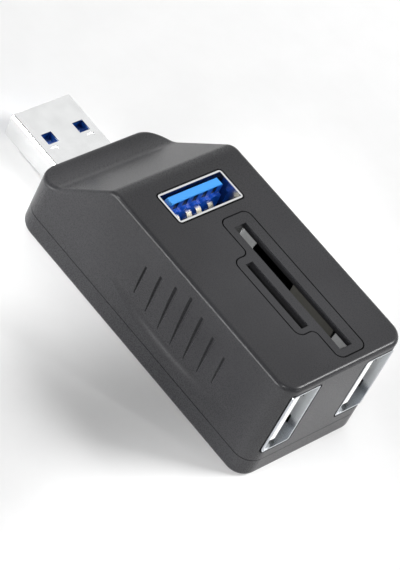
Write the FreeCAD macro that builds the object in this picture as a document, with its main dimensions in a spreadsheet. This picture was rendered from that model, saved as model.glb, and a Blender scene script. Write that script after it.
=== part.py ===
"""USB hub with card reader: a moulded housing with a plug, three ports and two card slots, in millimetres.

The origin is the middle of the flat underside. +X runs from the plug to the rear ports and +Z is up.
"""
import FreeCAD
import Part
import Sketcher
import math
import os
import re

SIZES = {
    # Housing
    "split_height": 4.0,
    "side_wall": 1.7,
    "end_wall": 1.6,
    "roof_wall": 1.6,
    "floor_wall": 1.5,
    "front_corner": 4.0,
    "rear_corner": 3.0,
    "inner_corner": 1.5,
    "top_edge_round": 0.8,
    "base_edge_round": 1.0,
    "seam_gap": 0.14,
    "seam_depth": 0.5,
    "rim_wall": 0.9,
    "fit_gap": 0.1,
    # Scooped front, measured from the front face
    "lip_height": 10.6,
    "scoop_foot": 3.75,
    "scoop_slope": 1.0,
    "scoop_foot_round": 6.0,
    "scoop_head_round": 3.0,
    # Finger dish and grip grooves on each side
    "grip_middle": 34.1,
    "dish_drop": 1.0,
    "dish_depth": 0.6,
    "dish_half_length": 16.5,
    "dish_rim_radius": 32.0,
    "dish_rim_low": 7.1,
    "dish_lip_round": 5.0,
    "dish_crease_round": 2.0,
    "dish_skim": 0.03,
    "groove_count": 7,
    "groove_spacing": 3.07,
    "groove_drop": 2.2,
    "groove_step": 1.03,
    "groove_tip_rise": 0.85,
    "groove_tip_radius": 24.0,
    "groove_bite": 0.06,
    "groove_depth": 0.42,
    "groove_fade": 0.013,
    "groove_flare": 0.65,
    "groove_root": 0.5,
    "groove_narrowing": 0.035,
    "groove_tip_root": 0.1,
    # Snap beads between cover and shell
    "snap_radius": 0.35,
    "snap_length": 8.0,
    "snap_spread": 26.0,
    "snap_land": 0.2,
    # Main board
    "board_top": 6.1,
    "board_thickness": 0.8,
    "board_gap": 0.15,
    "clamp_rib_width": 1.2,
    "clamp_rib_depth": 1.3,
    "clamp_rib_height": 5.0,
    "clamp_rib_place": 8.5,
    # Plug
    "plug_width": 12.0,
    "plug_height": 4.5,
    "plug_axis_lift": 0.05,
    "plug_reach": 12.3,
    "plug_tail": 5.0,
    "plug_sheet": 0.3,
    "plug_corner": 0.55,
    "plug_window_length": 2.12,
    "plug_window_width": 2.1,
    "plug_window_setback": 5.1,
    "plug_window_spacing": 6.5,
    "plug_latch_pocket": 0.9,
    "plug_dent_length": 0.5,
    "plug_dent_width": 1.25,
    "plug_dent_depth": 0.12,
    "plug_dent_setback": 0.65,
    "plug_dent_spacing": 7.5,
    "plug_ear": 1.5,
    "plug_ear_length": 2.0,
    "blade_recess": 1.0,
    "blade_thickness": 0.2,
    "blade_wide": 1.0,
    "blade_narrow": 0.4,
    "blade_narrow_spacing": 2.2,
    "blade_narrow_setback": 8.0,
    "blade_tail": 2.5,
    "insulator_rear": 5.6,
    # Ports
    "port_long": 13.2,
    "port_short": 5.76,
    "port_sheet": 0.32,
    "port_corner": 0.5,
    "port_gap": 0.28,
    "port_side_gap": 0.23,
    "port_roof_gap": 0.1,
    "port_base": 4.0,
    "port_base_gap": 0.05,
    "port_window_width": 1.7,
    "port_window_length": 6.0,
    "port_window_setback": 1.4,
    "port_window_spacing": 6.4,
    "port_leaf_width": 1.2,
    "port_leaf_lift": 0.35,
    "port_leaf_gap": 0.8,
    "tongue_width": 11.1,
    "tongue_thickness": 1.84,
    "tongue_offset": 0.1,
    "tongue_nose": 0.15,
    "tongue_end_chamfer": 0.4,
    "top_port_setback": 6.05,
    "top_tongue_recess": 0.2,
    "rear_port_depth": 14.0,
    "rear_port_spread": 15.58,
    "rear_tongue_recess": 0.55,
    "spring_width": 1.0,
    "spring_thickness": 0.2,
    "spring_lift": 0.75,
    "spring_crest": 3.7,
    "spring_tip": 3.0,
    "spring_inner_spacing": 2.0,
    "spring_outer_spacing": 2.5,
    "fast_step": 2.15,
    "fast_step_depth": 0.55,
    "fast_arch_width": 1.4,
    "fast_arch_round": 0.95,
    "fast_slot_depth": 0.15,
    "fast_pad_width": 1.0,
    "fast_pad_length": 1.5,
    "fast_pad_spacing": 2.0,
    "fast_pad_thickness": 0.05,
    # Card slots and their bezel
    "bezel_thickness": 1.1,
    "bezel_gap": 0.23,
    "bezel_ledge": 0.4,
    "bezel_margin_front": 2.07,
    "bezel_margin_rear": 1.5,
    "bezel_margin_far": 2.03,
    "bezel_margin_near": 1.48,
    "bezel_step_margin_front": 1.47,
    "bezel_step_margin_rear": 1.08,
    "bezel_corner": 1.4,
    "bezel_step_round": 0.9,
    "sd_setback": 4.09,
    "sd_length": 24.93,
    "sd_width": 2.47,
    "sd_back": 0.5,
    "sd_rear_gap": 0.7,
    "micro_setback": 6.3,
    "micro_length": 13.1,
    "micro_width": 1.5,
    "micro_back": 0.37,
    # Reader board and card sockets
    "reader_board_thickness": 0.8,
    "reader_board_clear": 0.2,
    "sd_wall": 0.5,
    "micro_wall": 0.25,
    "socket_sheet": 0.2,
    "socket_floor": 1.2,
    "sd_notch_front": 3.03,
    "sd_notch_rear": 3.3,
    "sd_notch_depth": 4.0,
    "sd_flare": 0.5,
    "sd_flare_height": 1.6,
    "sd_guide_front": 11.83,
    "sd_guide_length": 9.3,
    "sd_guide_lap": 1.0,
    "sd_guide_thickness": 0.3,
    "sd_contact_count": 9,
    "sd_contact_spacing": 2.5,
    "micro_contact_count": 8,
    "micro_contact_spacing": 1.1,
    "contact_width": 0.7,
    "contact_thickness": 0.15,
    "contact_length": 6.0,
    "link_pin_count": 4,
    "link_pin_spacing": 1.27,
    "link_pin_width": 0.5,
    "link_pin_thickness": 0.4,
    "link_pin_rise": 2.0,
    "link_pin_foot": 1.4,
    "link_pin_setback": 0.33,
    # Parts on the main board
    "hub_chip_side": 7.0,
    "hub_chip_height": 0.9,
    "hub_chip_place": 11.5,
    "hub_chip_across": -4.5,
    "reader_chip_side": 5.0,
    "reader_chip_place": 33.0,
    "reader_chip_across": -7.0,
    "crystal_length": 8.0,
    "crystal_width": 3.6,
    "crystal_height": 2.6,
    "crystal_end_round": 1.6,
    "crystal_place": 11.5,
    "crystal_across": 4.5,
    "capacitor_length": 1.6,
    "capacitor_width": 0.8,
    "capacitor_height": 0.8,
    "capacitor_count": 5,
    "capacitor_spacing": 2.6,
    "capacitor_place": 26.0,
    "capacitor_across": 8.0,
}

# Sizes that follow from the others: the housing closes round the ports, the boards and the card sockets
FOLLOWING = {
    "body_height": "board_top + port_long + port_roof_gap + roof_wall",
    "body_width": "rear_port_spread + port_short + 2 * (side_wall + port_side_gap)",
    "plug_axis": "board_top - board_thickness + plug_axis_lift",
    "scoop_head": "scoop_foot + (body_height - lip_height) / scoop_slope",
    "top_port_place": "scoop_head + top_port_setback",
    "sd_front": "top_port_place + port_short / 2 + sd_setback",
    "sd_near": "reader_board_thickness / 2 + sd_back",
    "micro_front": "sd_front + micro_setback",
    "micro_near": "-reader_board_thickness / 2 - micro_back - micro_width",
    "body_length": "sd_front + sd_length + sd_wall + socket_sheet + sd_rear_gap + end_wall",
    "bezel_front": "sd_front - bezel_margin_front",
    "bezel_rear": "sd_front + sd_length + bezel_margin_rear",
    "bezel_far": "sd_near + sd_width + bezel_margin_far",
    "bezel_near": "sd_near - bezel_margin_near",
    "bezel_step_front": "micro_front - bezel_step_margin_front",
    "bezel_step_rear": "micro_front + micro_length + bezel_step_margin_rear",
    "bezel_step_near": "micro_near - bezel_margin_near",
    "dish_top": "body_height - dish_drop",
    "groove_peak": "body_height - groove_drop",
    "groove_tip_low": "dish_rim_low + groove_tip_rise",
    "link_pin_place": "sd_front + link_pin_setback",
}

# How far a cut runs past the face it opens, how far the groove cutters stand out of the side,
# and how close two places are to count as one
OVERRUN = 5.0
STAND_OUT = 0.25
NEAR = 1e-3

doc = FreeCAD.newDocument("usb_hub_card_reader")
sheet = doc.addObject("Spreadsheet::Sheet", "Sizes")
cells = [(name, str(size)) for name, size in SIZES.items()]
cells += [(name, "=" + formula) for name, formula in FOLLOWING.items()]
for row, (name, content) in enumerate(cells, start=1):
    sheet.set("A%d" % row, name)
    sheet.set("B%d" % row, content)
    sheet.setAlias("B%d" % row, name)
doc.recompute()

# Places that several pieces share
FRONT = "(-body_length / 2)"
REAR = "(body_length / 2)"
SIDE = "(body_width / 2)"
BOARD_LOW = "(board_top - board_thickness)"
CAVITY_SIDE = "(body_width / 2 - side_wall)"
CAVITY_FRONT = "(-body_length / 2 + end_wall)"
CAVITY_REAR = "(body_length / 2 - end_wall)"
PLUG_LOW = "(plug_axis - plug_height / 2)"
PLUG_HIGH = "(plug_axis + plug_height / 2)"
PLUG_TIP = "(-body_length / 2 - plug_reach)"
PLUG_END = "(-body_length / 2 + plug_tail)"
BEZEL_LOW = "(body_height - bezel_thickness)"
SD_REAR = "(sd_front + sd_length)"
SD_FAR = "(sd_near + sd_width)"
MICRO_REAR = "(micro_front + micro_length)"
MICRO_FAR = "(micro_near + micro_width)"
READER_HALF = "(reader_board_thickness / 2)"
HOLE_LONG = "(port_long / 2 + port_gap)"
HOLE_SHORT = "(port_short / 2 + port_gap)"
BLADE_END = "(-body_length / 2 + plug_tail + board_gap + blade_tail)"
# Radii of the dish's floor, up and down and along the side
FLOOR_BEND = "((dish_top - dish_rim_low) * (dish_top - dish_rim_low) / (2 * dish_depth))"
SIDE_BEND = "(dish_half_length * dish_half_length / (2 * dish_depth))"
# The five fast contacts of a plug or port, counted from the middle one
FAST_COUNT = range(-2, 3)
# Its four common contacts, across its middle
SPRING_PLACES = ("-spring_inner_spacing / 2 - spring_outer_spacing", "-spring_inner_spacing / 2",
                 "spring_inner_spacing / 2", "spring_inner_spacing / 2 + spring_outer_spacing")


def named(text):
    """The expression with each size turned into its cell of the sheet."""
    known = dict(cells)
    return re.sub(r"[a-z_]+", lambda m: "Sizes." + m.group(0) if m.group(0) in known else m.group(0), text)


def value(text):
    """The number that an expression of sizes gives."""
    return float(sheet.evalExpression(named(text)))


def from_front(text):
    """An X place given as a distance from the housing's front face."""
    return "(%s + %s)" % (FRONT, text)


def bind(piece, **expressions):
    """Ties properties of a piece to sizes; a double underscore stands for a dot."""
    for prop, text in expressions.items():
        piece.setExpression(prop.replace("__", "."), named(text))
    return piece


def place(piece, x="0", y="0", z="0"):
    return bind(piece, Placement__Base__x=x, Placement__Base__y=y, Placement__Base__z=z)


def new_body(label):
    piece = doc.addObject("PartDesign::Body", label)
    piece.Label = label
    return piece


def draw(sketch, points, arcs):
    """A closed outline with each corner bound to the sheet; arcs gives a radius and a bulge side by segment."""
    spots = [FreeCAD.Vector(value(u), value(v), 0) for u, v in points]
    first = sketch.GeometryCount
    ends = []
    for i, start in enumerate(spots):
        stop = spots[(i + 1) % len(spots)]
        if i in arcs:
            radius, side = value(arcs[i][0]), arcs[i][1]
            chord = stop - start
            across = FreeCAD.Vector(-chord.y, chord.x, 0).normalize() * side
            centre = (start + stop) * 0.5 - across * math.sqrt(radius ** 2 - chord.Length ** 2 / 4)
            spoke, last = start - centre, stop - centre
            turn, turn_end = math.atan2(spoke.y, spoke.x), math.atan2(last.y, last.x)
            circle = Part.Circle(centre, FreeCAD.Vector(0, 0, 1), radius)
            ends.append((2, 1) if side > 0 else (1, 2))
            if side > 0:
                turn, turn_end = turn_end, turn
            sketch.addGeometry(Part.ArcOfCircle(circle, turn, turn_end), False)
        else:
            sketch.addGeometry(Part.LineSegment(start, stop), False)
            ends.append((1, 2))
    for i, (u, v) in enumerate(points):
        following = (i + 1) % len(points)
        sketch.addConstraint(Sketcher.Constraint(
            "Coincident", first + i, ends[i][1], first + following, ends[following][0]))
        for kind, text, number in (("DistanceX", u, spots[i].x), ("DistanceY", v, spots[i].y)):
            index = sketch.addConstraint(
                Sketcher.Constraint(kind, -1, 1, first + i, ends[i][0], number))
            sketch.setExpression("Constraints[%d]" % index, named(text))
        if i in arcs:
            index = sketch.addConstraint(Sketcher.Constraint("Radius", first + i, value(arcs[i][0])))
            sketch.setExpression("Constraints[%d]" % index, named(arcs[i][0]))


def outline(owner, name, role, height, loops, arcs=None):
    """A sketch of closed loops on one of a body's own planes, moved along the plane's normal by height."""
    sketch = owner.newObject("Sketcher::SketchObject", name)
    sketch.AttachmentSupport = [(next(f for f in owner.Origin.OriginFeatures if f.Role == role), "")]
    sketch.MapMode = "FlatFace"
    bind(sketch, AttachmentOffset__Base__z=height)
    for loop in loops:
        draw(sketch, loop, arcs or {})
    return sketch


def rectangle(low_u, high_u, low_v, high_v):
    return [(low_u, low_v), (high_u, low_v), (high_u, high_v), (low_u, high_v)]


def rounded_rectangle(low_u, high_u, low_v, high_v, low_radius, high_radius):
    """A rectangle cut back at its corners, where round_ends puts arcs; each end along U has its own radius."""
    left, right = "(%s + %s)" % (low_u, low_radius), "(%s - %s)" % (high_u, high_radius)
    return [(left, low_v), (right, low_v), (high_u, "(%s + %s)" % (low_v, high_radius)),
            (high_u, "(%s - %s)" % (high_v, high_radius)), (right, high_v), (left, high_v),
            (low_u, "(%s - %s)" % (high_v, low_radius)), (low_u, "(%s + %s)" % (low_v, low_radius))]


def round_ends(low_radius, high_radius):
    return {1: (high_radius, -1), 3: (high_radius, -1), 5: (low_radius, -1), 7: (low_radius, -1)}


def feature(owner, kind, name, sketch, length, side="One side", back=False):
    """A pad or pocket of a sketch; a pocket that takes nothing away is an error."""
    before = owner.Shape.Volume if owner.Shape.Solids else 0.0
    step = owner.newObject("PartDesign::" + kind, name)
    step.Profile = sketch
    step.SideType = side
    step.Reversed = back
    bind(step, Length=length)
    doc.recompute()
    if kind == "Pocket" and owner.Shape.Volume > before - NEAR:
        raise RuntimeError("%s cuts nothing" % name)
    return step


def middle(edge):
    return edge.valueAt((edge.FirstParameter + edge.LastParameter) / 2)


def runs_along(edge, axis):
    """Whether an edge is straight and lies along one of the axes."""
    reach = edge.Vertexes[-1].Point - edge.Vertexes[0].Point
    return reach.Length > NEAR and edge.Length - abs(getattr(reach, axis)) < NEAR


def is_upright(edge):
    return runs_along(edge, "z")


def corner_at(points, axis):
    """A test for the edges along an axis that pass through one of the points of the plane across it."""
    u, v = [name for name in "xyz" if name != axis]
    spots = [(value(a), value(b)) for a, b in points]

    def test(edge):
        at = middle(edge)
        return runs_along(edge, axis) and any(
            math.hypot(getattr(at, u) - a, getattr(at, v) - b) < NEAR for a, b in spots)
    return test


def dress(owner, kind, name, test, prop, size):
    """A fillet or chamfer on the edges of the body so far that pass the test."""
    doc.recompute()
    base = owner.Tip
    names = ["Edge%d" % i for i, edge in enumerate(base.Shape.Edges, start=1) if test(edge)]
    step = owner.newObject("PartDesign::" + kind, name)
    step.Base = (base, names)
    bind(step, **{prop: size})
    doc.recompute()
    return step


def block(label, low, size):
    """A plain box from its low corner and its three sizes."""
    piece = doc.addObject("Part::Box", label)
    place(piece, *low)
    return bind(piece, Length=size[0], Width=size[1], Height=size[2])


def group(label, members):
    """Like pieces that share one node as separate solids."""
    piece = doc.addObject("Part::Compound", label)
    piece.Links = members
    return piece


def bars(label, count, spacing, low, size):
    """A row of equal flat bars along X, centred on the given low corner's X."""
    total = int(SIZES[count])
    row = []
    for i in range(total):
        x = "(%s) + (%d - (%s - 1) / 2) * %s - (%s) / 2" % (low[0], i, count, spacing, size[0])
        row.append(block("%s_%d" % (label, i + 1), (x, low[1], low[2]), size))
    return group(label, row)


def vertical_wall(face):
    low_u, high_u, low_v, high_v = face.ParameterRange
    return abs(face.normalAt((low_u + high_u) / 2, (low_v + high_v) / 2).z) < NEAR


def rim_edge(shape, above):
    """A test for the edges where an outer wall turns into the roof or the scooped front."""
    def test(edge):
        walls = [vertical_wall(face) for face in shape.ancestorsOfType(edge, Part.Face)]
        return middle(edge).z > above + NEAR and walls.count(True) == 1
    return test


# Housing

def body_plan():
    return rectangle(FRONT, REAR, "-" + SIDE, SIDE)


def round_plan(owner):
    """Rounds the upright corners of the housing's outline."""
    front = [(FRONT, "-" + SIDE), (FRONT, SIDE)]
    rear = [(REAR, "-" + SIDE), (REAR, SIDE)]
    dress(owner, "Fillet", owner.Label + "_front_corners", corner_at(front, "z"), "Radius", "front_corner")
    dress(owner, "Fillet", owner.Label + "_rear_corners", corner_at(rear, "z"), "Radius", "rear_corner")


def bezel_plan(inset):
    """The stepped outline of the card bezel, moved inwards by inset."""
    left, right = from_front("bezel_front + " + inset), from_front("bezel_rear - " + inset)
    step_left = from_front("bezel_step_front + " + inset)
    step_right = from_front("bezel_step_rear - " + inset)
    far, near, step_near = "bezel_far - " + inset, "bezel_near + " + inset, "bezel_step_near + " + inset
    return [(left, far), (left, near), (step_left, near), (step_left, step_near),
            (step_right, step_near), (step_right, near), (right, near), (right, far)]


def round_bezel(owner, inset):
    """Rounds the upright corners of the bezel's plate or seat; the two inward ones have their own size."""
    plan = bezel_plan(inset)
    inward = [plan[2], plan[5]]
    outward = [spot for spot in plan if spot not in inward]
    dress(owner, "Fillet", owner.Label + "_bezel_corners", corner_at(outward, "z"), "Radius",
          "bezel_corner - " + inset)
    dress(owner, "Fillet", owner.Label + "_bezel_steps", corner_at(inward, "z"), "Radius",
          "bezel_step_round + " + inset)


def make_upper_body():
    """The moulded upper shell before its sides are dished."""
    shell = new_body("upper_moulding")
    feature(shell, "Pad", "shell_block",
            outline(shell, "shell_plan", "XY_Plane", "split_height", [body_plan()]),
            "body_height - split_height")
    round_plan(shell)
    above = "(body_height + %s)" % OVERRUN
    before = "(%s - %s)" % (FRONT, OVERRUN)
    scoop = [(before, "lip_height"), (from_front("scoop_foot"), "lip_height"),
             (from_front("scoop_head"), "body_height"), (from_front("scoop_head"), above), (before, above)]
    feature(shell, "Pocket", "shell_scoop", outline(shell, "scoop_profile", "XZ_Plane", "0", [scoop]),
            "body_width * 2", "Symmetric")
    foot_crease, head_crease = scoop[1:2], scoop[2:3]
    dress(shell, "Fillet", "scoop_foot_fillet", corner_at(foot_crease, "y"), "Radius", "scoop_foot_round")
    dress(shell, "Fillet", "scoop_head_fillet", corner_at(head_crease, "y"), "Radius", "scoop_head_round")
    dress(shell, "Fillet", "shell_top_edge", rim_edge(shell.Tip.Shape, value("split_height")),
          "Radius", "top_edge_round")

    slope = "((body_height - lip_height) / (scoop_head - scoop_foot))"
    slant = "(roof_wall * sqrt(1 + %s * %s))" % (slope, slope)
    ceiling, shelf = "(body_height - roof_wall)", "(lip_height - roof_wall)"
    foot = from_front("scoop_foot + (%s - roof_wall) / %s" % (slant, slope))
    head = from_front("scoop_head + (%s - roof_wall) / %s" % (slant, slope))
    low = "(split_height - %s)" % OVERRUN
    cavity = [(CAVITY_FRONT, low), (CAVITY_REAR, low), (CAVITY_REAR, ceiling), (head, ceiling),
              (foot, shelf), (CAVITY_FRONT, shelf)]
    feature(shell, "Pocket", "shell_cavity", outline(shell, "cavity_profile", "XZ_Plane", "0", [cavity]),
            "2 * " + CAVITY_SIDE, "Symmetric")
    inside = rectangle(CAVITY_FRONT, CAVITY_REAR, "-" + CAVITY_SIDE, CAVITY_SIDE)
    dress(shell, "Fillet", "cavity_corners", corner_at(inside, "z"), "Radius", "inner_corner")

    rib_low = from_front("clamp_rib_place")
    rib_high = from_front("clamp_rib_place + clamp_rib_width")
    ribs = [rectangle(rib_low, rib_high, CAVITY_SIDE + " - clamp_rib_depth", SIDE + " - side_wall / 2"),
            rectangle(rib_low, rib_high, "side_wall / 2 - " + SIDE, "clamp_rib_depth - " + CAVITY_SIDE)]
    feature(shell, "Pad", "shell_clamp_ribs", outline(shell, "clamp_rib_plan", "XY_Plane", "board_top", ribs),
            "clamp_rib_height")

    corner = "(port_corner + port_gap)"
    top_hole = rounded_rectangle(from_front("top_port_place - " + HOLE_SHORT),
                                 from_front("top_port_place + " + HOLE_SHORT),
                                 "-" + HOLE_LONG, HOLE_LONG, corner, corner)
    ends = round_ends(corner, corner)
    feature(shell, "Pocket", "top_port_hole",
            outline(shell, "top_port_plan", "XY_Plane", "body_height", [top_hole], ends), "2 * roof_wall")
    feature(shell, "Pocket", "bezel_seat",
            outline(shell, "bezel_seat_plan", "XY_Plane", "body_height", [bezel_plan("0")]), "bezel_thickness")
    round_bezel(shell, "0")
    feature(shell, "Pocket", "bezel_hole",
            outline(shell, "bezel_hole_plan", "XY_Plane", "body_height", [bezel_plan("bezel_ledge")]),
            "roof_wall + bezel_thickness")
    port_foot = "board_top - port_gap"
    port_head = "board_top + port_long + port_gap"
    rear_holes = [rounded_rectangle("%srear_port_spread / 2 - %s" % (sign, HOLE_SHORT),
                                    "%srear_port_spread / 2 + %s" % (sign, HOLE_SHORT),
                                    port_foot, port_head, corner, corner) for sign in ("-", "")]
    feature(shell, "Pocket", "rear_port_holes",
            outline(shell, "rear_port_plan", "YZ_Plane", REAR, rear_holes, ends), "2 * end_wall")
    notch = rectangle("-plug_width / 2 - fit_gap", "plug_width / 2 + fit_gap", low, PLUG_HIGH + " + fit_gap")
    feature(shell, "Pocket", "shell_plug_notch", outline(shell, "shell_plug_plan", "YZ_Plane", FRONT, [notch]),
            "2 * end_wall", back=True)
    return shell


def make_dish():
    """The cutter of one side's shallow finger dish: a saddle-shaped floor inside a round, flared rim."""
    outside = "(-%s - %s)" % (SIDE, OVERRUN)
    skin = "(-%s - dish_skim)" % SIDE
    reach = "(sqrt(2 * dish_lip_round * (dish_depth + dish_skim)) + dish_rim_radius)"
    centre = "(dish_rim_low + dish_rim_radius)"
    low = "(%s - %s - %s)" % (centre, reach, OVERRUN)
    drop = "(dish_top - %s)" % low
    deep = "(%s + %s - sqrt(%s * %s - %s * %s))" % (skin, FLOOR_BEND, FLOOR_BEND, FLOOR_BEND, drop, drop)
    floor = new_body("dish_floor")
    clear = "(-%s - 2 * %s)" % (SIDE, OVERRUN)
    profile = [(clear, low), (deep, low), (skin, "dish_top"), (clear, "dish_top")]
    sketch = outline(floor, "dish_floor_profile", "YZ_Plane", from_front("grip_middle"), [profile],
                     {1: (FLOOR_BEND, 1)})
    sweep = doc.addObject("Part::Revolution", "dish_floor_sweep")
    sweep.Source = sketch
    sweep.Axis = (0, 0, 1)
    # The floor is swept three half lengths each way, which is well past the rim
    bind(sweep, Base__x=from_front("grip_middle"), Base__y="-%s + dish_depth - %s" % (SIDE, SIDE_BEND),
         Angle="6 * atan(dish_half_length / %s) / 1deg" % SIDE_BEND)
    sweep.Symmetric = True
    sweep.Solid = True

    rim = new_body("dish_rim")
    sunk = "(2 * dish_depth)"
    narrow = "(%s - sqrt(2 * dish_lip_round * (%s + dish_skim) - (%s + dish_skim) * (%s + dish_skim)))" % (
        reach, sunk, sunk, sunk)
    inner = "(%s - %s)" % (sunk, SIDE)
    profile = [(inner, centre), (outside, centre), (outside, "%s + %s" % (centre, reach)),
               (skin, "%s + %s" % (centre, reach)), (inner, "%s + %s" % (centre, narrow))]
    sketch = outline(rim, "dish_rim_profile", "YZ_Plane", from_front("grip_middle"), [profile],
                     {3: ("dish_lip_round", -1)})
    disc = doc.addObject("Part::Revolution", "dish_rim_disc")
    disc.Source = sketch
    disc.Axis = (0, 1, 0)
    disc.Solid = True
    bind(disc, Base__x=from_front("grip_middle"), Base__z=centre, Angle="360")
    dish = doc.addObject("Part::Common", "dish")
    dish.Base = sweep
    dish.Tool = disc
    soft = new_body("dish_soft")
    soft.BaseFeature = dish
    bottom = (value(from_front("grip_middle")), value("dish_rim_low"))

    def crease(edge):
        at = middle(edge)
        return abs(at.x - bottom[0]) < NEAR and abs(at.z - bottom[1]) < value("dish_depth") and (
            at.y > value("-%s" % SIDE))
    dress(soft, "Fillet", "dish_crease", crease, "Radius", "dish_crease_round")
    return soft


def make_grooves():
    """Upright grooves with a flat root, which run out to a point where the dish's floor reaches the root."""
    cutters = []
    skin = "(-%s - %s)" % (SIDE, STAND_OUT)
    for i in range(int(SIZES["groove_count"])):
        step = "(%d - (groove_count - 1) / 2)" % i
        off = "(%s * groove_spacing)" % step
        rise = "sqrt(groove_tip_radius * groove_tip_radius - %s * %s)" % (off, off)
        tip = "(groove_tip_low + groove_tip_radius - %s)" % rise
        top = "(groove_peak - abs(%s) * groove_step)" % step
        tip_depth = "((dish_top - %s) * (dish_top - %s) / (2 * %s) - %s * %s / (2 * %s) + groove_bite)" % (
            tip, tip, FLOOR_BEND, off, off, SIDE_BEND)
        top_depth = "(groove_depth - groove_fade * %s * %s)" % (step, step)
        top_root = "(groove_root - groove_narrowing * %s * %s)" % (step, step)
        cutter = new_body("groove_%d" % (i + 1))
        across = from_front("grip_middle + " + off)
        sections = []
        for end, height, depth, root in (("tip", tip, tip_depth, "groove_tip_root"),
                                         ("top", top, top_depth, top_root)):
            deep = "(%s - %s)" % (depth, SIDE)
            half = "(%s / 2 + (%s + %s) * groove_flare)" % (root, depth, STAND_OUT)
            corners = [("%s - %s" % (across, half), skin), ("%s + %s" % (across, half), skin),
                       ("%s + %s / 2" % (across, root), deep), ("%s - %s / 2" % (across, root), deep)]
            sections.append(outline(cutter, "%s_%s" % (cutter.Name, end), "XY_Plane", height, [corners]))
        loft = cutter.newObject("PartDesign::AdditiveLoft", cutter.Name + "_wedge")
        loft.Profile = sections[0]
        loft.Sections = sections[1:]
        loft.Ruled = True
        cutters.append(cutter)
    return cutters


def make_snaps(name, grow):
    """Rounded beads on the long sides of the cover's lip, or the shell's grooves for them."""
    beads = []
    for side in ("-", ""):
        for end in ("-", ""):
            bead = doc.addObject("Part::Cylinder", "%s_%d" % (name, len(beads) + 1))
            bead.Placement.Rotation = FreeCAD.Rotation(FreeCAD.Vector(0, 1, 0), 90)
            bind(bead, Radius="snap_radius + " + grow, Height="snap_length + 2 * " + grow)
            place(bead, "%ssnap_spread / 2 - snap_length / 2 - %s" % (end, grow),
                  "%s(%s - fit_gap)" % (side, CAVITY_SIDE), BOARD_LOW + " - snap_radius - fit_gap - snap_land")
            beads.append(bead)
    return beads


def make_upper_shell():
    half = doc.addObject("Part::MultiFuse", "grip_cutter")
    half.Shapes = [make_dish()] + make_grooves()
    other = doc.addObject("Part::Mirroring", "grip_cutter_far")
    other.Source = half
    other.Normal = (0, 1, 0)
    cutter = doc.addObject("Part::Compound", "shell_cutter")
    cutter.Links = [half, other] + make_snaps("snap_groove", "fit_gap")
    shell = doc.addObject("Part::Cut", "upper_shell")
    shell.Base = make_upper_body()
    shell.Tool = cutter
    return shell


def make_lower_cover():
    tray = new_body("cover_moulding")
    feature(tray, "Pad", "cover_block", outline(tray, "cover_plan", "XY_Plane", "0", [body_plan()]),
            "split_height - seam_gap")
    round_plan(tray)
    dress(tray, "Fillet", "cover_base_edge", lambda e: middle(e).z < NEAR, "Radius", "base_edge_round")
    ends = "(front_corner - seam_depth)", "(rear_corner - seam_depth)"
    seam = rounded_rectangle(FRONT + " + seam_depth", REAR + " - seam_depth", "(seam_depth - %s)" % SIDE,
                             "(%s - seam_depth)" % SIDE, *ends)
    feature(tray, "Pad", "cover_seam",
            outline(tray, "seam_plan", "XY_Plane", "floor_wall", [seam], round_ends(*ends)),
            "split_height - floor_wall")
    lip = rectangle(CAVITY_FRONT + " + fit_gap", CAVITY_REAR + " - fit_gap",
                    "fit_gap - " + CAVITY_SIDE, CAVITY_SIDE + " - fit_gap")
    feature(tray, "Pad", "cover_lip", outline(tray, "lip_plan", "XY_Plane", "floor_wall", [lip]),
            BOARD_LOW + " - floor_wall")
    dress(tray, "Fillet", "lip_corners", corner_at(lip, "z"), "Radius", "inner_corner")
    room = rectangle(CAVITY_FRONT + " + fit_gap + rim_wall", CAVITY_REAR + " - fit_gap - rim_wall",
                     "fit_gap + rim_wall - " + CAVITY_SIDE, CAVITY_SIDE + " - fit_gap - rim_wall")
    feature(tray, "Pocket", "cover_room", outline(tray, "room_plan", "XY_Plane", BOARD_LOW, [room]),
            BOARD_LOW + " - floor_wall")
    notch = rectangle("-plug_width / 2 - fit_gap", "plug_width / 2 + fit_gap", PLUG_LOW + " - fit_gap",
                      "board_top")
    feature(tray, "Pocket", "cover_plug_notch", outline(tray, "cover_plug_plan", "YZ_Plane", FRONT, [notch]),
            "end_wall + fit_gap + 2 * rim_wall", back=True)
    cover = doc.addObject("Part::MultiFuse", "lower_cover")
    cover.Shapes = [tray] + make_snaps("snap_bead", "0")
    return cover


def make_bezel():
    plate = new_body("card_slot_bezel")
    feature(plate, "Pad", "bezel_plate", outline(plate, "bezel_plate_plan", "XY_Plane", BEZEL_LOW,
                                                 [bezel_plan("bezel_gap")]), "bezel_thickness")
    round_bezel(plate, "bezel_gap")
    slots = [rectangle(from_front("sd_front"), from_front(SD_REAR), "sd_near", SD_FAR),
             rectangle(from_front("micro_front"), from_front(MICRO_REAR), "micro_near", MICRO_FAR)]
    feature(plate, "Pocket", "card_slots", outline(plate, "card_slot_plan", "XY_Plane", "body_height", slots),
            "2 * bezel_thickness")
    return plate


# Boards

def make_main_board():
    board = new_body("main_board")
    front, rear = CAVITY_FRONT + " + board_gap", CAVITY_REAR + " - board_gap"
    side = "(%s - board_gap)" % CAVITY_SIDE
    slot = "(plug_width / 2 + board_gap)"
    back = PLUG_END + " + board_gap"
    edge = [(front, "-" + side), (rear, "-" + side), (rear, side), (front, side),
            (front, slot), (back, slot), (back, "-" + slot), (front, "-" + slot)]
    feature(board, "Pad", "board_sheet", outline(board, "board_plan", "XY_Plane", BOARD_LOW, [edge]),
            "board_thickness")
    dress(board, "Fillet", "board_corners", corner_at(edge[:4], "z"), "Radius", "inner_corner")
    return board


def make_reader_board():
    """The upright board between the card sockets, standing on the main board."""
    return block("reader_board",
                 (from_front("sd_front - sd_wall"), "-" + READER_HALF, "board_top"),
                 ("sd_length + 2 * sd_wall", "reader_board_thickness",
                  "body_height - roof_wall - reader_board_clear - board_top"))


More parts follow.
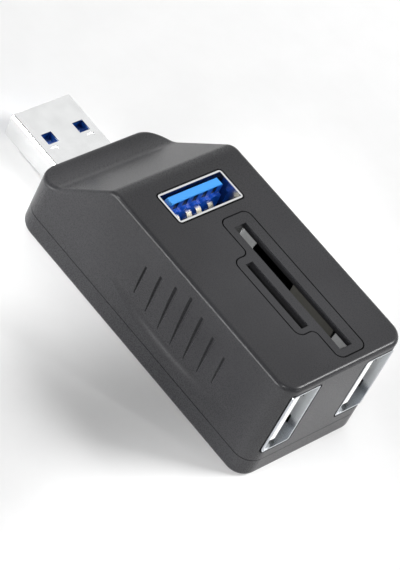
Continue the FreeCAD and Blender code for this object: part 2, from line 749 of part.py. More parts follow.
def make_link_pins():
    """Bent pins that stand on the main board against the reader board's near face."""
    pins = []
    for i in range(int(SIZES["link_pin_count"])):
        x = from_front("link_pin_place + %d * link_pin_spacing" % i)
        stem = block("link_stem_%d" % (i + 1), (x, "-%s - link_pin_thickness" % READER_HALF, "board_top"),
                     ("link_pin_width", "link_pin_thickness", "link_pin_rise"))
        foot = block("link_foot_%d" % (i + 1), (x, "-%s - link_pin_foot" % READER_HALF, "board_top"),
                     ("link_pin_width", "link_pin_foot", "link_pin_thickness"))
        pin = doc.addObject("Part::Fuse", "link_pin_%d" % (i + 1))
        pin.Base = stem
        pin.Tool = foot
        pins.append(pin)
    return group("link_pins", pins)


# Plug

def plug_windows():
    """The two square latch windows, seen from above."""
    start = "(%s + plug_window_setback)" % PLUG_TIP
    stop = "(%s + plug_window_length)" % start
    return [rectangle(start, stop, "%splug_window_spacing / 2 - plug_window_width / 2" % sign,
                      "%splug_window_spacing / 2 + plug_window_width / 2" % sign) for sign in ("-", "")]


def make_plug_shell():
    shell = new_body("plug_shell")
    half, low, high = "(plug_width / 2)", PLUG_LOW, PLUG_HIGH
    section = rectangle("-" + half, half, low, high)
    feature(shell, "Pad", "plug_tube", outline(shell, "plug_section", "YZ_Plane", PLUG_TIP, [section]),
            "plug_reach + plug_tail")
    dress(shell, "Fillet", "plug_bends", lambda e: runs_along(e, "x"), "Radius", "plug_corner")
    bore = rectangle("plug_sheet - " + half, half + " - plug_sheet",
                     low + " + plug_sheet", high + " - plug_sheet")
    feature(shell, "Pocket", "plug_bore", outline(shell, "plug_bore_section", "YZ_Plane", PLUG_TIP, [bore]),
            "plug_reach + plug_tail + %s" % OVERRUN, back=True)
    feature(shell, "Pocket", "plug_windows",
            outline(shell, "plug_window_plan", "XY_Plane", high, plug_windows()), "plug_height + %s" % OVERRUN)
    mark = "(%s + plug_window_setback + plug_window_length + plug_dent_setback)" % PLUG_TIP
    dents = [rectangle(mark, mark + " + plug_dent_length",
                       "%splug_dent_spacing / 2 - plug_dent_width / 2" % sign,
                       "%splug_dent_spacing / 2 + plug_dent_width / 2" % sign) for sign in ("-", "")]
    feature(shell, "Pocket", "plug_dents", outline(shell, "plug_dent_plan", "XY_Plane", high, dents),
            "plug_dent_depth")
    ear_low = "(%s - plug_ear_length)" % PLUG_END
    ears = [rectangle(ear_low, PLUG_END, half + " - plug_sheet", half + " + plug_ear"),
            rectangle(ear_low, PLUG_END, "-%s - plug_ear" % half, "plug_sheet - " + half)]
    feature(shell, "Pad", "plug_ears", outline(shell, "plug_ear_plan", "XY_Plane", "board_top", ears),
            "plug_sheet")
    return shell


def make_plug_insulator():
    """The block in the plug's upper half, with a full-height rear part that the blades run through."""
    core = new_body("plug_insulator")
    half, high = "(plug_width / 2 - plug_sheet)", PLUG_HIGH + " - plug_sheet"
    nose = PLUG_TIP + " + blade_recess / 2"
    slab = rectangle("-" + half, half, BOARD_LOW, high)
    rear = rectangle("-" + half, half, PLUG_LOW + " + plug_sheet", high)
    feature(core, "Pad", "insulator_slab", outline(core, "insulator_section", "YZ_Plane", nose, [slab]),
            "plug_reach + plug_tail - blade_recess / 2")
    feature(core, "Pad", "insulator_block",
            outline(core, "insulator_rear_section", "YZ_Plane", PLUG_END, [rear]), "insulator_rear", back=True)
    feature(core, "Pocket", "insulator_latch_pockets",
            outline(core, "insulator_latch_plan", "XY_Plane", high, plug_windows()), "plug_latch_pocket")
    side = "(2 * blade_narrow_spacing + blade_narrow / 2 + fit_gap)"
    channel = rectangle("-" + side, side, BOARD_LOW + " - blade_thickness", BOARD_LOW)
    feature(core, "Pocket", "insulator_channel",
            outline(core, "insulator_channel_section", "YZ_Plane", PLUG_END, [channel]),
            "insulator_rear + %s" % OVERRUN)
    return core


def make_plug_contacts():
    """Four wide blades and five narrow ones under the insulator, with tails under the board."""
    under = "%s - blade_thickness" % BOARD_LOW
    blades = []
    for i, offset in enumerate(SPRING_PLACES):
        start = "(%s + blade_recess)" % PLUG_TIP
        blades.append(block("wide_blade_%d" % (i + 1), (start, "%s - blade_wide / 2" % offset, under),
                            ("%s - %s" % (BLADE_END, start), "blade_wide", "blade_thickness")))
    for i in FAST_COUNT:
        start = "(%s + blade_narrow_setback)" % PLUG_TIP
        blades.append(block("narrow_blade_%d" % (i + 3),
                            (start, "%d * blade_narrow_spacing - blade_narrow / 2" % i, under),
                            ("%s - %s" % (BLADE_END, start), "blade_narrow", "blade_thickness")))
    return group("plug_contacts", blades)


# Ports, drawn with the mouth at the top of their own frame, the long side along X and the tongue towards -Y

def make_port_shell(label, depth):
    shell = new_body(label)
    half_long, half_short = "(port_long / 2)", "(port_short / 2)"
    bottom = "-(%s)" % depth
    feature(shell, "Pad", label + "_tube", outline(shell, label + "_plan", "XY_Plane", bottom,
                                                   [rectangle("-" + half_long, half_long,
                                                              "-" + half_short, half_short)]), depth)
    dress(shell, "Fillet", label + "_bends", is_upright, "Radius", "port_corner")
    bore = rectangle("port_sheet - " + half_long, half_long + " - port_sheet",
                     "port_sheet - " + half_short, half_short + " - port_sheet")
    feature(shell, "Pocket", label + "_bore", outline(shell, label + "_bore_plan", "XY_Plane", "0", [bore]),
            "%s + %s" % (depth, OVERRUN))
    high, low = "-port_window_setback", "-port_window_setback - port_window_length"
    windows = [rectangle("%sport_window_spacing / 2 - port_window_width / 2" % sign,
                         "%sport_window_spacing / 2 + port_window_width / 2" % sign, low, high)
               for sign in ("-", "")]
    feature(shell, "Pocket", label + "_windows",
            outline(shell, label + "_window_plan", "XZ_Plane", "0", windows), "2 * port_short", "Symmetric")
    for sign, name in (("-", "near"), ("", "far")):
        for place_sign, spot in (("-", "low"), ("", "high")):
            leaf_name = "%s_leaf_%s_%s" % (label, name, spot)
            outer, inner = "%s%s" % (sign, half_short), "%s(%s - port_sheet)" % (sign, half_short)
            crest_out = "%s(%s - port_leaf_lift)" % (sign, half_short)
            crest_in = "%s(%s - port_sheet - port_leaf_lift)" % (sign, half_short)
            root = low + " - port_sheet"
            crest = "-port_window_setback - port_window_length / 3"
            tip = "-port_window_setback - port_leaf_gap"
            leaf = [(outer, root), (outer, low), (crest_out, crest), (outer, tip), (inner, tip),
                    (crest_in, crest), (inner, low), (inner, root)]
            feature(shell, "Pad", leaf_name,
                    outline(shell, leaf_name + "_profile", "YZ_Plane",
                            "%sport_window_spacing / 2" % place_sign, [leaf]), "port_leaf_width", "Symmetric")
    return shell


def make_port_tongue(label, depth, recess, fast):
    tongue = new_body(label)
    half_long = "(port_long / 2 - port_sheet - port_base_gap)"
    half_short = "(port_short / 2 - port_sheet - port_base_gap)"
    bottom = "-(%s)" % depth
    feature(tongue, "Pad", label + "_base", outline(tongue, label + "_base_plan", "XY_Plane", bottom,
                                                    [rectangle("-" + half_long, half_long, "-" + half_short,
                                                               half_short)]), "port_base")
    face, back, nose = "-tongue_offset", "-tongue_offset - tongue_thickness", "-" + recess
    blade = [(back, bottom), (face, bottom)]
    if fast:
        blade += [(face, nose + " - fast_step"), (face + " - fast_step_depth", nose + " - fast_step")]
        face += " - fast_step_depth"
    blade += [(face, nose + " - tongue_nose"), (face + " - tongue_nose", nose), (back, nose)]
    feature(tongue, "Pad", label + "_blade",
            outline(tongue, label + "_blade_profile", "YZ_Plane", "0", [blade]), "tongue_width", "Symmetric")
    ends = [("-tongue_width / 2", nose), ("tongue_width / 2", nose)]
    dress(tongue, "Chamfer", label + "_ends", corner_at(ends, "y"), "Size", "tongue_end_chamfer")
    if fast:
        cuts = [rectangle("%d * fast_pad_spacing - fast_pad_width / 2" % i,
                          "%d * fast_pad_spacing + fast_pad_width / 2" % i,
                          nose + " - 2 * tongue_nose - fast_pad_length", nose + " - 2 * tongue_nose")
                for i in FAST_COUNT]
        front = "tongue_offset + fast_step_depth"
        feature(tongue, "Pocket", label + "_pad_slots",
                outline(tongue, label + "_pad_plan", "XZ_Plane", front, cuts), "fast_slot_depth", back=True)
        sill = nose + " - fast_step"
        arches = [rectangle("%d * fast_pad_spacing - fast_arch_width / 2" % i,
                            "%d * fast_pad_spacing + fast_arch_width / 2" % i, sill + " - tongue_nose", sill)
                  for i in FAST_COUNT]
        crown = {2: ("fast_arch_round", -1)}
        feature(tongue, "Pad", label + "_arches",
                outline(tongue, label + "_arch_plan", "XZ_Plane", front, arches, crown),
                "fast_step_depth", back=True)
    return tongue


def make_port_contacts(label, depth, recess, fast):
    """Four bent springs on the tongue's open side and, on the blue port, five short pads near its nose."""
    face = "(-tongue_offset)"
    seat = "(port_base - (%s))" % depth
    members = []
    for i, offset in enumerate(SPRING_PLACES):
        owner = new_body("%s_spring_%d" % (label, i + 1))
        outer = face + " + spring_thickness"
        tip, crest = "-(%s) - spring_tip" % recess, "-(%s) - spring_crest" % recess
        ramp = crest + " - spring_crest + spring_tip"
        profile = [(face, seat), (outer, seat), (outer, ramp), (outer + " + spring_lift", crest),
                   (outer, tip), (face, tip), (face + " + spring_lift", crest), (face, ramp)]
        feature(owner, "Pad", owner.Name + "_strip",
                outline(owner, owner.Name + "_profile", "YZ_Plane", offset, [profile]),
                "spring_width", "Symmetric")
        members.append(owner)
    if fast:
        deep = "(-tongue_offset - fast_step_depth - fast_slot_depth)"
        for i in FAST_COUNT:
            pad = block("%s_pad_%d" % (label, i + 3),
                        ("%d * fast_pad_spacing - fast_pad_width / 2" % i, deep,
                         "-(%s) - 2 * tongue_nose - fast_pad_length" % recess),
                        ("fast_pad_width", "fast_pad_thickness", "fast_pad_length"))
            members.append(pad)
    return group(label, members)


def make_port(prefix, depth, recess, fast, turn, spot):
    """One receptacle in three pieces, turned and moved to its place."""
    pieces = [make_port_shell(prefix + "_shell", depth),
              make_port_tongue(prefix + "_tongue", depth, recess, fast),
              make_port_contacts(prefix + "_contacts", depth, recess, fast)]
    for piece in pieces:
        piece.Placement.Rotation = turn
        place(piece, *spot)
    return pieces


# Card sockets

def make_socket(prefix, far_side):
    """A card socket on one face of the reader board: a moulded frame, a sheet cover and a row of springs.

    The large one's cover is notched at the mouth between two flared strips, with a moulded guide strip behind
    part of the notch.
    """
    front, length, wall = prefix + "_front", prefix + "_length", prefix + "_wall"
    near, width = prefix + "_near", prefix + "_width"
    face = READER_HALF if far_side else "-" + READER_HALF
    inner = near if far_side else "(%s + %s)" % (near, width)
    outer = "(%s + %s)" % (near, width) if far_side else near
    left, right = from_front(front), from_front("%s + %s" % (front, length))
    wall_left, wall_right = "%s - %s" % (left, wall), "%s + %s" % (right, wall)
    frame = new_body(prefix + "_socket_frame")
    section = [(wall_left, face), (wall_right, face), (wall_right, outer), (right, outer),
               (right, inner), (left, inner), (left, outer), (wall_left, outer)]
    height = BEZEL_LOW + " - board_top"
    feature(frame, "Pad", prefix + "_frame_walls",
            outline(frame, prefix + "_frame_plan", "XY_Plane", "board_top", [section]), height)
    low_y, high_y = (inner, outer) if far_side else (outer, inner)
    feature(frame, "Pad", prefix + "_frame_floor",
            outline(frame, prefix + "_floor_plan", "XY_Plane", "board_top",
                    [rectangle(left, right, low_y, high_y)]), "socket_floor")
    cover = new_body(prefix + "_socket_cover")
    skin = "(%s %s socket_sheet)" % (outer, "+" if far_side else "-")
    fold_left, fold_right = wall_left + " - socket_sheet", wall_right + " + socket_sheet"
    section = [(fold_left, face), (wall_left, face), (wall_left, outer), (wall_right, outer),
               (wall_right, face), (fold_right, face), (fold_right, skin), (fold_left, skin)]
    feature(cover, "Pad", prefix + "_cover_sheet",
            outline(cover, prefix + "_cover_plan", "XY_Plane", "board_top", [section]), height)
    extras = []
    if far_side:
        notch_left, notch_right = left + " + sd_notch_front", right + " - sd_notch_rear"
        bend, notch_low = BEZEL_LOW + " - sd_flare_height", BEZEL_LOW + " - sd_notch_depth"
        above = "%s + %s" % (BEZEL_LOW, OVERRUN)
        gap = [(left, bend), (notch_left, bend), (notch_left, notch_low), (notch_right, notch_low),
               (notch_right, bend), (right, bend), (right, above), (left, above)]
        feature(cover, "Pocket", prefix + "_cover_notch",
                outline(cover, prefix + "_notch_plan", "XZ_Plane", "-(%s)" % outer, [gap]), "3 * socket_sheet",
                "Symmetric")
        flare = [(outer, bend), (skin, bend), (skin + " + sd_flare", BEZEL_LOW),
                 (outer + " + sd_flare", BEZEL_LOW)]
        for end, start, size in (("front", left, "sd_notch_front"), ("rear", notch_right, "sd_notch_rear")):
            feature(cover, "Pad", "%s_flare_%s" % (prefix, end),
                    outline(cover, "%s_flare_%s_profile" % (prefix, end), "YZ_Plane", start, [flare]), size)
        reach = "(sd_notch_depth + sd_guide_lap)"
        extras.append(block("sd_guide_strip",
                            (left + " + sd_guide_front", skin, "%s - %s" % (BEZEL_LOW, reach)),
                            ("sd_guide_length", "sd_guide_thickness", reach)))
    start = inner if far_side else "(%s - contact_thickness)" % inner
    springs = bars(prefix + "_contacts", prefix + "_contact_count", prefix + "_contact_spacing",
                   (from_front("%s + %s / 2" % (front, length)), start, "board_top + socket_floor"),
                   ("contact_width", "contact_thickness", "contact_length"))
    return [frame, cover, springs] + extras


# Parts on the main board

def make_board_parts():
    hub = block("hub_chip", (from_front("hub_chip_place - hub_chip_side / 2"),
                             "hub_chip_across - hub_chip_side / 2", "board_top"),
                ("hub_chip_side", "hub_chip_side", "hub_chip_height"))
    reader = block("reader_chip", (from_front("reader_chip_place - reader_chip_side / 2"),
                                   "reader_chip_across - reader_chip_side / 2", "board_top"),
                   ("reader_chip_side", "reader_chip_side", "hub_chip_height"))
    can = new_body("crystal_can")
    feature(can, "Pad", "crystal_block", outline(can, "crystal_plan", "XY_Plane", "board_top", [rectangle(
        from_front("crystal_place - crystal_length / 2"), from_front("crystal_place + crystal_length / 2"),
        "crystal_across - crystal_width / 2", "crystal_across + crystal_width / 2")]), "crystal_height")
    dress(can, "Fillet", "crystal_ends", is_upright, "Radius", "crystal_end_round")
    capacitors = bars("chip_capacitors", "capacitor_count", "capacitor_spacing",
                      (from_front("capacitor_place + (capacitor_count - 1) * capacitor_spacing / 2"),
                       "capacitor_across", "board_top"),
                      ("capacitor_length", "capacitor_width", "capacitor_height"))
    return [hub, reader, can, capacitors]


upright_turn = FreeCAD.Rotation(FreeCAD.Vector(0, 0, 1), -90)
rear_turn = FreeCAD.Rotation(FreeCAD.Vector(0, 1, 0), 90)
nodes = [make_upper_shell(), make_lower_cover(), make_bezel(), make_main_board(), make_reader_board(),
         make_link_pins(), make_plug_shell(), make_plug_insulator(), make_plug_contacts()]
nodes += make_port("top_port", "(body_height - board_top)", "top_tongue_recess", True, upright_turn,
                   (from_front("top_port_place"), "0", "body_height"))
rear_centre = "board_top + port_long / 2"
for side, sign in (("left", "-"), ("right", "")):
    nodes += make_port(side + "_port", "rear_port_depth", "rear_tongue_recess", False, rear_turn,
                       (REAR, sign + "rear_port_spread / 2", rear_centre))
nodes += make_socket("sd", True)
nodes += make_socket("micro", False)
nodes += make_board_parts()
doc.recompute()

for item in doc.Objects:
    if "Invalid" in item.State or "Error" in item.State:
        raise RuntimeError("%s failed: %s" % (item.Name, item.State))
for node in nodes:
    if node.Shape.isNull() or not node.Shape.isValid():
        raise RuntimeError("%s has no valid shape" % node.Label)
os.makedirs("parts", exist_ok=True)
for node in nodes:
    node.Shape.exportStep("parts/%s.step" % node.Label)
print("wrote %d pieces" % len(nodes))
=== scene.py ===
"""Looks of the USB hub with card reader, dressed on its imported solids. Lengths are in metres."""
import math
import bpy
from mathutils import Matrix, Vector

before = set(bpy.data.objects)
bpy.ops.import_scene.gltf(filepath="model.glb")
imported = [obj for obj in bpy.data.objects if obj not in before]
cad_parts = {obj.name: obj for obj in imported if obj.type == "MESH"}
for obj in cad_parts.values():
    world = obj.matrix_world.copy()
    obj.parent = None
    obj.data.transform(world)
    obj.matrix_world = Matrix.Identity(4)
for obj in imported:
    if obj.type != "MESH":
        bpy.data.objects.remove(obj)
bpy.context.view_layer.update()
MM = 0.001

# Nearly all of a noise pattern lies in this span of its values
NOISE_LOW, NOISE_HIGH = 0.3, 0.7
# A colour mix has several sockets of each name, so its two colours and its result go by number
MIX_FIRST, MIX_SECOND, MIX_RESULT = 6, 7, 2
# Rolling lines are drawn twenty times as long as wide, along the sheet's rolling direction
ROLLED_ALONG_X = (0.05, 1.0, 1.0)
ROLLED_ALONG_Z = (1.0, 1.0, 0.05)


# Node helper, colours and scales

def linear(hex_colour):
    """sRGB hex to the linear colour that Blender's sockets take."""
    parts = [int(hex_colour[i:i + 2], 16) / 255 for i in (1, 3, 5)]
    return tuple(p / 12.92 if p <= 0.04045 else ((p + 0.055) / 1.055) ** 2.4 for p in parts) + (1.0,)


def per_metre(size_mm):
    """Texture scale that repeats about once in the given millimetres."""
    return 1.0 / (size_mm * MM)


def add(tree, kind, settings=None, inputs=None):
    """Adds a node; settings are its own options, and inputs are values or (node, output) links by socket."""
    node = tree.nodes.new(kind)
    for name, value in (settings or {}).items():
        setattr(node, name, value)
    for name, value in (inputs or {}).items():
        socket = node.inputs[name]
        if isinstance(value, tuple) and len(value) == 2 and isinstance(value[0], bpy.types.Node):
            tree.links.new(value[0].outputs[value[1]], socket)
        else:
            socket.default_value = value
    return node


def new_material(name):
    """An empty node material, with its tree and its output."""
    material = bpy.data.materials.new(name)
    material.use_nodes = True
    tree = material.node_tree
    tree.nodes.clear()
    return material, tree, tree.nodes.new("ShaderNodeOutputMaterial")


def two_tone(tree, grey, first, second, low=NOISE_LOW, high=NOISE_HIGH):
    """Fades from one written colour into another where a grey value runs from low to high."""
    share = add(tree, "ShaderNodeMapRange", None, {"Value": grey, "From Min": low, "From Max": high})
    blend = add(tree, "ShaderNodeMix", {"data_type": "RGBA"},
                {"Factor": (share, "Result"), MIX_FIRST: linear(first), MIX_SECOND: linear(second)})
    return blend, MIX_RESULT


def grained_surface(tree, output, tint, grain, roughness, relief, values):
    """Ends a finish whose roughness, and relief where it has one, follow a grain.

    The roughness runs between two values, the relief is a strength and a depth in millimetres, and the
    values are those that are the same all over the surface."""
    gloss = add(tree, "ShaderNodeMapRange", None,
                {"Value": grain, "From Min": NOISE_LOW, "From Max": NOISE_HIGH,
                 "To Min": roughness[0], "To Max": roughness[1]})
    inputs = {"Base Color": tint, "Roughness": (gloss, "Result"), **values}
    if relief:
        strength, depth_mm = relief
        bump = add(tree, "ShaderNodeBump", None,
                   {"Height": grain, "Strength": strength, "Distance": depth_mm * MM})
        inputs["Normal"] = (bump, "Normal")
    shader = add(tree, "ShaderNodeBsdfPrincipled", None, inputs)
    tree.links.new(shader.outputs["BSDF"], output.inputs["Surface"])


# Materials

def moulded_abs(name, dark, light):
    """Charcoal ABS out of a spark-eroded mould: an even grain breaks up its sheen, over faint flow clouds."""
    material, tree, output = new_material(name)
    place = add(tree, "ShaderNodeTexCoord")
    # Flow clouds of about 9 mm
    clouds = add(tree, "ShaderNodeTexNoise", None,
                 {"Vector": (place, "Object"), "Scale": per_metre(9.0), "Detail": 3.0, "Roughness": 0.5})
    # The real grain is about 0.06 mm; it is drawn at 0.16 mm so that it shows
    grain = add(tree, "ShaderNodeTexNoise", None,
                {"Vector": (place, "Object"), "Scale": per_metre(0.16), "Detail": 2.0, "Roughness": 0.6})
    # The grain takes more than half of the sheen that polished ABS would have
    grained_surface(tree, output, two_tone(tree, (clouds, "Fac"), dark, light), (grain, "Fac"),
                    roughness=(0.24, 0.32), relief=(0.05, 0.03),
                    values={"IOR": 1.54, "Specular IOR Level": 0.22})
    return material


def plated_strip(name, dark, light, roughness, rolled):
    """Rolled strip, plated and then folded or stamped: bright, with faint rolling lines along one direction."""
    material, tree, output = new_material(name)
    place = add(tree, "ShaderNodeTexCoord")
    along = add(tree, "ShaderNodeMapping", None, {"Vector": (place, "Object"), "Scale": rolled})
    # Rolling lines about 0.15 mm wide
    lines = add(tree, "ShaderNodeTexNoise", None,
                {"Vector": (along, "Vector"), "Scale": per_metre(0.15), "Detail": 2.0, "Roughness": 0.55})
    # Clouds of about 3 mm in the plating
    clouds = add(tree, "ShaderNodeTexNoise", None,
                 {"Vector": (place, "Object"), "Scale": per_metre(3.0), "Detail": 2.0})
    grained_surface(tree, output, two_tone(tree, (clouds, "Fac"), dark, light), (lines, "Fac"),
                    roughness=(roughness - 0.03, roughness + 0.04), relief=(0.04, 0.01),
                    values={"Metallic": 1.0})
    return material


def moulded_resin(name, dark, light, roughness, grain_mm=0.25):
    """Filled resin or ceramic out of a mould: smooth and slightly waxy, with a fine mottle of its filler."""
    material, tree, output = new_material(name)
    place = add(tree, "ShaderNodeTexCoord")
    mottle = add(tree, "ShaderNodeTexNoise", None,
                 {"Vector": (place, "Object"), "Scale": per_metre(grain_mm), "Detail": 3.0, "Roughness": 0.6})
    grained_surface(tree, output, two_tone(tree, (mottle, "Fac"), dark, light), (mottle, "Fac"),
                    roughness=(roughness - 0.05, roughness + 0.05), relief=(0.08, 0.02),
                    values={"IOR": 1.6})
    return material


def tongue_resin(name, deep, painted_highlight, low_mm, high_mm):
    """Blue connector resin, paler at the tongue's end: a painted highlight that stands in for the light falling
    on the end face.
    """
    material, tree, output = new_material(name)
    place = add(tree, "ShaderNodeTexCoord")
    height = add(tree, "ShaderNodeSeparateXYZ", None, {"Vector": (place, "Object")})
    # Fibre mottle of about 0.25 mm
    mottle = add(tree, "ShaderNodeTexNoise", None,
                 {"Vector": (place, "Object"), "Scale": per_metre(0.25), "Detail": 3.0, "Roughness": 0.6})
    # Between low_mm and high_mm of height the colour turns to the painted highlight of the lit end
    grained_surface(tree, output, two_tone(tree, (height, "Z"), deep, painted_highlight, low_mm * MM, high_mm * MM),
                    (mottle, "Fac"), roughness=(0.28, 0.4), relief=(0.08, 0.02), values={"IOR": 1.6})
    return material


def plated_contacts(name, spring, painted_shade_pad, low_mm, high_mm):
    """Gold-flashed springs that catch the light, and above them, near the tongue's end, pads in a dark grey
    that is painted shade.
    """
    material, tree, output = new_material(name)
    place = add(tree, "ShaderNodeTexCoord")
    height = add(tree, "ShaderNodeSeparateXYZ", None, {"Vector": (place, "Object")})
    # Wiping marks of about 0.1 mm
    marks = add(tree, "ShaderNodeTexNoise", None,
                {"Vector": (place, "Object"), "Scale": per_metre(0.1), "Detail": 2.0, "Roughness": 0.55})
    # Above the height mark the dark pad colour is painted shade, standing in for the recess the pads lie in
    grained_surface(tree, output, two_tone(tree, (height, "Z"), spring, painted_shade_pad, low_mm * MM, high_mm * MM),
                    (marks, "Fac"), roughness=(0.4, 0.52), relief=None, values={"Metallic": 1.0})
    return material


def solder_mask(name, dark, light):
    """Fibreglass laminate under a green coating: glossy, with the weave faintly telegraphing through."""
    material, tree, output = new_material(name)
    place = add(tree, "ShaderNodeTexCoord")
    # Glass cloth with threads about 0.5 mm apart; a wave of scale 1 repeats about pi times in a unit
    threads = per_metre(0.5) / math.pi
    warp, weft = [add(tree, "ShaderNodeTexWave", {"wave_type": "BANDS", "bands_direction": way},
                      {"Vector": (place, "Object"), "Scale": threads, "Distortion": 1.5}) for way in "XY"]
    cloth = add(tree, "ShaderNodeMath", {"operation": "MULTIPLY"}, {0: (warp, "Fac"), 1: (weft, "Fac")})
    tint = two_tone(tree, (cloth, "Value"), dark, light, 0.0, 1.0)
    bump = add(tree, "ShaderNodeBump", None,
               {"Height": (cloth, "Value"), "Strength": 0.05, "Distance": 0.02 * MM})
    shader = add(tree, "ShaderNodeBsdfPrincipled", None,
                 {"Base Color": tint, "Roughness": 0.3, "Normal": (bump, "Normal"), "IOR": 1.55})
    tree.links.new(shader.outputs["BSDF"], output.inputs["Surface"])
    return material


def paper_sheet(name):
    """Matt white background paper: no sheen, with a barely seen fleck."""
    material, tree, output = new_material(name)
    place = add(tree, "ShaderNodeTexCoord")
    # The real fleck is under 1 mm; it is drawn at 6 mm so that it shows
    fleck = add(tree, "ShaderNodeTexNoise", None,
                {"Vector": (place, "Object"), "Scale": per_metre(6.0), "Detail": 2.0})
    shader = add(tree, "ShaderNodeBsdfDiffuse", None,
                 {"Color": two_tone(tree, (fleck, "Fac"), "#fcfcfc", "#ffffff")})
    tree.links.new(shader.outputs["BSDF"], output.inputs["Surface"])
    return material


# The housing is a dark grey with a soft sheen
HOUSING = moulded_abs("spark_grained_abs", "#2d2d2f", "#323234")
# Plate is bright on the plug and the top port, greyer on the rear ports, and satin on the card sockets
PLUG_PLATE = plated_strip("nickel_plated_steel", "#e4e5e5", "#edeeee", 0.22, ROLLED_ALONG_X)
REAR_PORT_PLATE = plated_strip("tin_nickel_plated_steel", "#bfc3c8", "#c9cdd2", 0.22, ROLLED_ALONG_X)
TOP_PORT_PLATE = plated_strip("nickel_plated_steel_upright", "#dadbdb", "#e3e4e4", 0.18, ROLLED_ALONG_Z)
SOCKET_SHEET = plated_strip("satin_nickel_sheet", "#e4e5e5", "#eeefef", 0.75, ROLLED_ALONG_Z)
# Contacts are a pale gold, and the top port's pads a dark grey that is painted shade
CONTACT_GOLD = plated_strip("gold_flashed_bronze", "#dccfa8", "#ebe0c2", 0.28, ROLLED_ALONG_X)
TOP_PORT_CONTACTS = plated_contacts("gold_contacts_shaded_pads", "#f5edd6", "#3a4650", low_mm=18.3, high_mm=18.6)
# Resins are clear blue on the top tongue, with a painted highlight at its end, deep blue in the plug, white in
# the rear ports, and else dark
TOP_TONGUE_BLUE = tongue_resin("blue_tongue_resin", "#0c50bc", "#2f9cf4", low_mm=20.3, high_mm=20.7)
PLUG_BLUE = moulded_resin("dark_blue_connector_resin", "#0d4696", "#1252a8", 0.34)
REAR_TONGUE_WHITE = moulded_resin("white_connector_resin", "#ecebe8", "#f6f5f2", 0.38)
SOCKET_BLACK = moulded_resin("black_connector_resin", "#121213", "#1a1a1b", 0.42)
GUIDE_GREY = moulded_resin("grey_socket_resin", "#5c5b56", "#686762", 0.45)
# Small parts and boards: tan ceramic and a glossy green
CAPACITOR_CERAMIC = moulded_resin("fired_ceramic", "#8a6b48", "#a5835c", 0.5, 0.12)
BOARD_GREEN = solder_mask("green_solder_mask", "#12492b", "#1b5f39")

FINISHES = {
    HOUSING: ["upper_shell", "lower_cover", "card_slot_bezel"],
    PLUG_PLATE: ["plug_shell", "crystal_can"],
    REAR_PORT_PLATE: ["left_port_shell", "right_port_shell"],
    TOP_PORT_PLATE: ["top_port_shell"],
    SOCKET_SHEET: ["sd_socket_cover", "micro_socket_cover"],
    CONTACT_GOLD: ["link_pins", "plug_contacts", "left_port_contacts", "right_port_contacts", "sd_contacts",
                   "micro_contacts"],
    TOP_PORT_CONTACTS: ["top_port_contacts"],
    TOP_TONGUE_BLUE: ["top_port_tongue"],
    PLUG_BLUE: ["plug_insulator"],
    REAR_TONGUE_WHITE: ["left_port_tongue", "right_port_tongue"],
    SOCKET_BLACK: ["sd_socket_frame", "micro_socket_frame", "hub_chip", "reader_chip"],
    GUIDE_GREY: ["sd_guide_strip"],
    CAPACITOR_CERAMIC: ["chip_capacitors"],
    BOARD_GREEN: ["main_board", "reader_board"],
}
for finish, names in FINISHES.items():
    for node_name in names:
        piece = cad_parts[node_name]
        piece.data.materials.clear()
        piece.data.materials.append(finish)


# Floor

FLOOR_HALF = 3.0
floor_mesh = bpy.data.meshes.new("floor")
floor_mesh.from_pydata([(-FLOOR_HALF, -FLOOR_HALF, 0), (FLOOR_HALF, -FLOOR_HALF, 0),
                        (FLOOR_HALF, FLOOR_HALF, 0), (-FLOOR_HALF, FLOOR_HALF, 0)], [], [(0, 1, 2, 3)])
floor = bpy.data.objects.new("floor", floor_mesh)
floor.data.materials.append(paper_sheet("white_paper"))
bpy.context.scene.collection.objects.link(floor)


# Light

# Strengths of the light tent's parts
TENT_FRONT = 15.5
TENT_WALLS = 0.1
TENT_SCRIM = 0.98
TENT_REST = 0.03
# Ways to the middle of the front strip and of the scrim, and the cosines between which each comes up
FRONT_WAY, FRONT_FADE = Vector((-0.42, -0.9, 0)).normalized(), (0.72, 0.95)
SCRIM_WAY, SCRIM_FADE = Vector((-0.3, 0.7, 0.65)).normalized(), (0.55, 0.85)
# Sines of the heights between which the walls and the front strip end
WALL_FADE = (0.12, 0.34)


def studio_tent(name):
    """A light tent: dim walls with a low lit strip in front, and a bright scrim overhead behind."""
    world = bpy.data.worlds.new(name)
    bpy.context.scene.world = world
    world.use_nodes = True
    tree = world.node_tree
    tree.nodes.clear()
    place = add(tree, "ShaderNodeTexCoord")
    to_front, to_scrim = [add(tree, "ShaderNodeVectorMath", {"operation": "DOT_PRODUCT"},
                              {0: (place, "Generated"), 1: way}) for way in (FRONT_WAY, SCRIM_WAY)]
    height = add(tree, "ShaderNodeSeparateXYZ", None, {"Vector": (place, "Generated")})
    softly = {"interpolation_type": "SMOOTHSTEP"}
    strip = add(tree, "ShaderNodeMapRange", softly,
                {"Value": (to_front, "Value"), "From Min": FRONT_FADE[0], "From Max": FRONT_FADE[1],
                 "To Min": TENT_WALLS, "To Max": TENT_FRONT})
    wall = add(tree, "ShaderNodeMapRange", softly,
               {"Value": (height, "Z"), "From Min": WALL_FADE[0], "From Max": WALL_FADE[1],
                "To Min": (strip, "Result"), "To Max": TENT_REST})
    scrim = add(tree, "ShaderNodeMapRange", softly,
                {"Value": (to_scrim, "Value"), "From Min": SCRIM_FADE[0], "From Max": SCRIM_FADE[1],
                 "To Min": 0.0, "To Max": TENT_SCRIM})
    glow = add(tree, "ShaderNodeMath", {"operation": "MAXIMUM"}, {0: (wall, "Result"), 1: (scrim, "Result")})
    sky = add(tree, "ShaderNodeBackground", None, {"Color": linear("#ffffff"), "Strength": (glow, "Value")})
    add(tree, "ShaderNodeOutputWorld", None, {"Surface": (sky, "Background")})


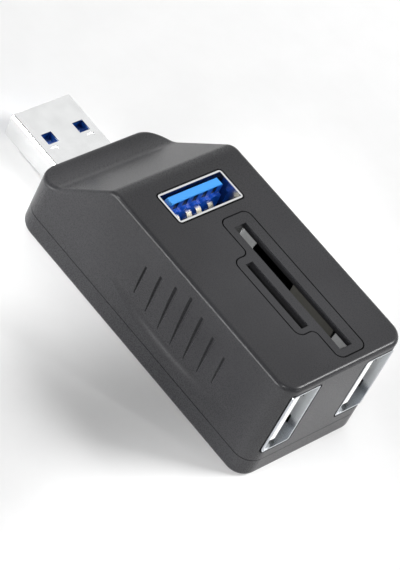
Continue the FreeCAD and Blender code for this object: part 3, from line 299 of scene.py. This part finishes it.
def hang_lamp(name, kind, spot, target, power, options):
    """Hangs a lamp at a spot in millimetres, aimed at a target, with its power in watts and its own options."""
    lamp = bpy.data.lights.new(name, kind)
    lamp.energy = power
    for option, value in options.items():
        setattr(lamp, option, value)
    holder = bpy.data.objects.new(name, lamp)
    holder.location = Vector(spot) * MM
    holder.rotation_euler = (Vector(target) - Vector(spot)).to_track_quat("-Z", "Y").to_euler()
    bpy.context.scene.collection.objects.link(holder)


studio_tent("studio_tent")
# A softbox from behind gives the shadow; soft-edged snoots lift the floor in front, the top and the rear ports
hang_lamp("key", "AREA", spot=(345, 495, 540), target=(0, 0, 8), power=4.75,
          options={"shape": "SQUARE", "size": 240 * MM})
SNOOTS = {  # spot and target in millimetres, cone in degrees, power in watts
    "front_left": ((-200, -210, 250), (-25, -17.5, 0), 9, 5.5),
    "front_right": ((120, -330, 200), (37, -36, 0), 8, 5.5),
    "over_top": ((150, -215, 300), (10, 4, 21), 7, 4.3),
    "into_ports": ((330, 130, 80), (27, 1, 13), 4.5, 6),
}
SNOOT_MOUTH = 10 * MM
for name, (spot, target, cone, power) in SNOOTS.items():
    hang_lamp(name, "SPOT", spot, target, power,
              {"spot_size": math.radians(cone), "spot_blend": 1.0, "shadow_soft_size": SNOOT_MOUTH})


# Camera, solved from points of the photograph

PHOTO_LONG_SIDE = 570
FOCAL_PIXELS = 3050.63
CAMERA_PLACE = Vector((154.384, -288.734, 328.002)) * MM
CAMERA_RIGHT = (0.61443410, 0.71009617, 0.34385196)
CAMERA_UP = (-0.71301846, 0.31320183, 0.62730319)
CAMERA_BACK = (0.33775053, -0.63060926, 0.69875356)

camera = bpy.data.cameras.new("photo_view")
camera.sensor_width = 36.0
camera.lens = FOCAL_PIXELS * camera.sensor_width / PHOTO_LONG_SIDE
camera.clip_start = 10 * MM
view = bpy.data.objects.new("photo_view", camera)
turn = Matrix((CAMERA_RIGHT, CAMERA_UP, CAMERA_BACK)).transposed()
view.matrix_world = Matrix.Translation(CAMERA_PLACE) @ turn.to_4x4()
bpy.context.scene.collection.objects.link(view)
bpy.context.scene.camera = view
bpy.context.scene.view_settings.view_transform = "Standard"
